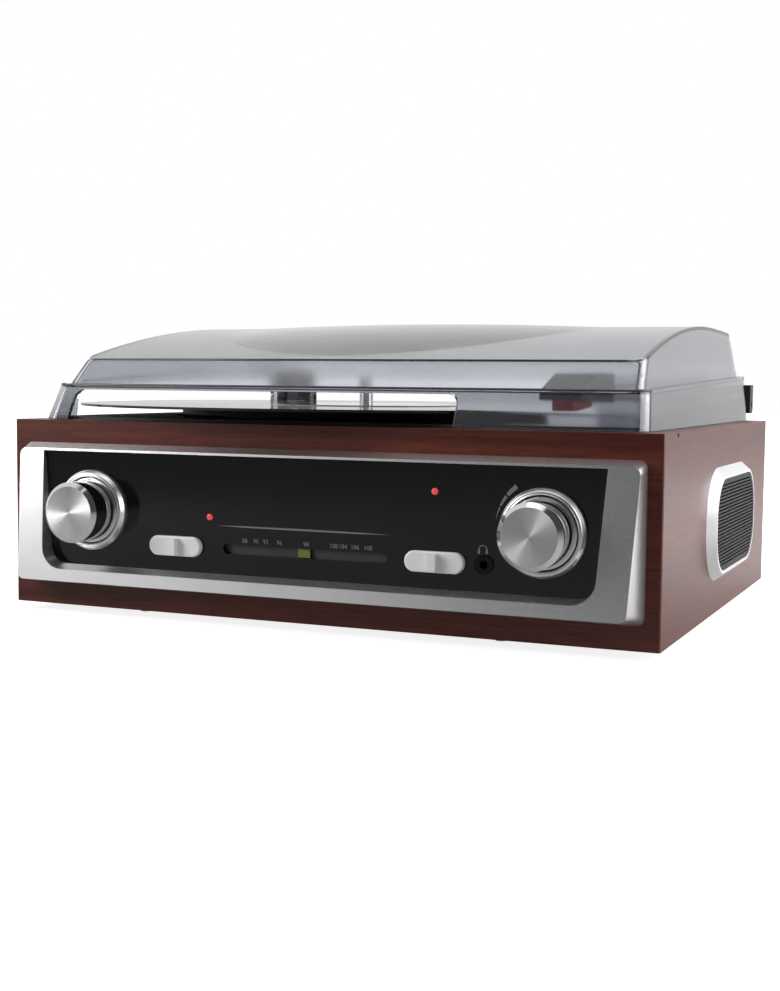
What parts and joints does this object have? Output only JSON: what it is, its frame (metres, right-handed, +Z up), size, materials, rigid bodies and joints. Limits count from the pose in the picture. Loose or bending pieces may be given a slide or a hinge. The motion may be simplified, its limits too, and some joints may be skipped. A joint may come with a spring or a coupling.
{
  "type": "record player",
  "caption": "Wooden record player with a radio: silver and black fascia with knobs and dial, side speakers, and a smoked cover cut out for a record",
  "frame": {"origin": "on the floor under the middle of the box that holds the whole player with its record", "axes": "X to the right, Y to the rear, Z up; the fascia faces -Y"},
  "size_m": [0.347, 0.3073, 0.1458],
  "materials": {
    "wood": "dark reddish-brown wood with a satin lacquer",
    "board": "dark fibreboard",
    "silver": "silver-painted plastic, satin gloss",
    "knob_metal": "spun aluminium faces with polished sides",
    "black_gloss": "black, high gloss",
    "black_matte": "black, fine matte grain",
    "smoked": "clear smoked acrylic",
    "rubber": "black rubber",
    "steel": "bright steel",
    "arm_metal": "satin aluminium",
    "brass": "plain brass",
    "red": "red, gloss",
    "label": "plain red paper",
    "dial_white": "pale dial plate",
    "pointer_green": "yellow-green",
    "circuit": "green circuit board"
  },
  "bodies": {
    "cabinet": {"arm_rest": "black_matte", "band_switch": "black_matte", "base_panel": "board", "base_screws": "steel", "circuit_board": "circuit", "deck_plate": "black_matte", "dial_panel": "black_gloss", "dial_scale": "dial_white", "drive_belt": "rubber", "drive_motor": "steel", "fascia_bezel": "silver", "function_switch": "black_matte", "headphone_socket": "black_matte", "hinge_bracket_left": "black_matte", "hinge_bracket_right": "black_matte", "hinge_pins": "steel", "line_out_jacks": "steel", "platter_bearing": "brass", "power_inlet": "black_matte", "power_led": "red", "power_transformer": "steel", "rear_panel": "black_matte", "rubber_feet": "rubber", "speaker_driver_left": "steel", "speaker_driver_right": "steel", "speaker_frame_left": "silver", "speaker_frame_right": "silver", "speaker_grille_left": "black_matte", "speaker_grille_right": "black_matte", "speed_switch": "black_matte", "stereo_led": "red", "tonearm_base": "black_matte", "tuning_capacitor": "black_matte", "tuning_ring": "silver", "volume_potentiometer": "black_matte", "volume_ring": "silver", "wooden_cabinet": "wood"},
    "cover": {"dust_cover": "smoked", "hinge_leaf_left": "black_matte", "hinge_leaf_right": "black_matte"},
    "turntable": {"platter": "black_matte", "platter_mat": "rubber", "spindle": "steel", "vinyl_record": "black_gloss", "record_label": "label"},
    "pulley": {"motor_pulley": "brass"},
    "arm_yoke": {"tonearm_yoke": "black_matte"},
    "arm": {"tonearm_tube": "arm_metal", "headshell": "black_matte", "stylus": "red", "counterweight": "steel"},
    "tuning": {"tuning_knob": "knob_metal", "tuning_shaft": "steel"},
    "pointer": {"dial_pointer": "pointer_green"},
    "volume": {"volume_knob": "knob_metal", "volume_shaft": "steel"},
    "band": {"band_slider": "silver"},
    "function": {"function_slider": "silver"},
    "speed": {"speed_selector": "black_matte"}
  },
  "joints": [
    {"name": "cover_hinge", "type": "hinge", "parent": "cabinet", "child": "cover", "pos_m": [0.00825, 0.13435, 0.103], "axis": [-1, 0, 0], "range_deg": [0, 75]},
    {"name": "platter_spin", "type": "hinge", "parent": "cabinet", "child": "turntable", "pos_m": [-0.02275, 0.00285, 0.0955], "axis": [0, 0, 1], "continuous": true},
    {"name": "pulley_spin", "type": "hinge", "parent": "cabinet", "child": "pulley", "pos_m": [0.01857, 0.08057, 0.0955], "axis": [0, 0, 1], "continuous": true},
    {"name": "tonearm_swing", "type": "hinge", "parent": "cabinet", "child": "arm_yoke", "pos_m": [0.13025, 0.08585, 0.1117], "axis": [0, 0, -1], "range_deg": [0, 38]},
    {"name": "tonearm_lift", "type": "hinge", "parent": "arm_yoke", "child": "arm", "pos_m": [0.13025, 0.08585, 0.1117], "axis": [-0.9966, 0.0819, 0], "range_deg": [0, 1.5]},
    {"name": "tuning_turn", "type": "hinge", "parent": "cabinet", "child": "tuning", "pos_m": [-0.10375, -0.13365, 0.05165], "axis": [0, 1, 0], "range_deg": [-135, 135]},
    {"name": "pointer_slide", "type": "slide", "parent": "cabinet", "child": "pointer", "axis": [1, 0, 0], "range_m": [-0.032, 0.032]},
    {"name": "volume_turn", "type": "hinge", "parent": "cabinet", "child": "volume", "pos_m": [0.12025, -0.13365, 0.05165], "axis": [0, 1, 0], "range_deg": [0, 300]},
    {"name": "band_slide", "type": "slide", "parent": "cabinet", "child": "band", "axis": [1, 0, 0], "range_m": [0, 0.003]},
    {"name": "function_slide", "type": "slide", "parent": "cabinet", "child": "function", "axis": [1, 0, 0], "range_m": [-0.003, 0.003]},
    {"name": "speed_slide", "type": "slide", "parent": "cabinet", "child": "speed", "axis": [0, 1, 0], "range_m": [-0.006, 0.006]}
  ],
  "couplings": [
    {"joint": "pulley_spin", "follows": "platter_spin", "ratio": 21.72},
    {"joint": "pointer_slide", "follows": "tuning_turn", "m_per_rad": 0.01358}
  ]
}
